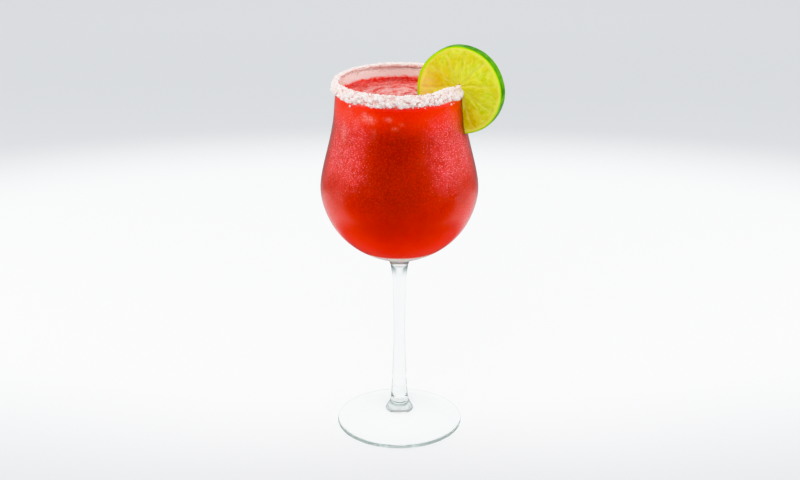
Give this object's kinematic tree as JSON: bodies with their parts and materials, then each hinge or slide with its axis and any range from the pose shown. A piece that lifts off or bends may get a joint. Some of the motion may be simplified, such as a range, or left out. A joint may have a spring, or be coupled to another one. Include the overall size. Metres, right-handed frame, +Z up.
{
  "type": "frozen strawberry daiquiri in a stemmed glass",
  "caption": "Stemmed tulip glass filled with frozen red strawberry slush, with a crust of coarse white crystals round the lip and a lime wheel slit over the rim.",
  "frame": {"origin": "centre of the foot's flat underside, on the glass's axis", "axes": "+Z up along the stem, +X towards the side of the rim that carries the lime wheel, -Y towards the viewer in the front view"},
  "size_m": [0.0995, 0.0872, 0.2257],
  "materials": {
    "clear_glass": "polished clear glass, fire-polished lip",
    "strawberry_slush": "wet blended ice, bright red, finely speckled",
    "white_crystals": "coarse white translucent crystals",
    "lime": "wet juicy flesh with thin pale membranes inside a glossy green rind"
  },
  "bodies": {
    "root": {"glass": "clear_glass", "drink": "strawberry_slush", "rim_crust": "white_crystals", "lime_wheel": "lime"}
  },
  "joints": []
}
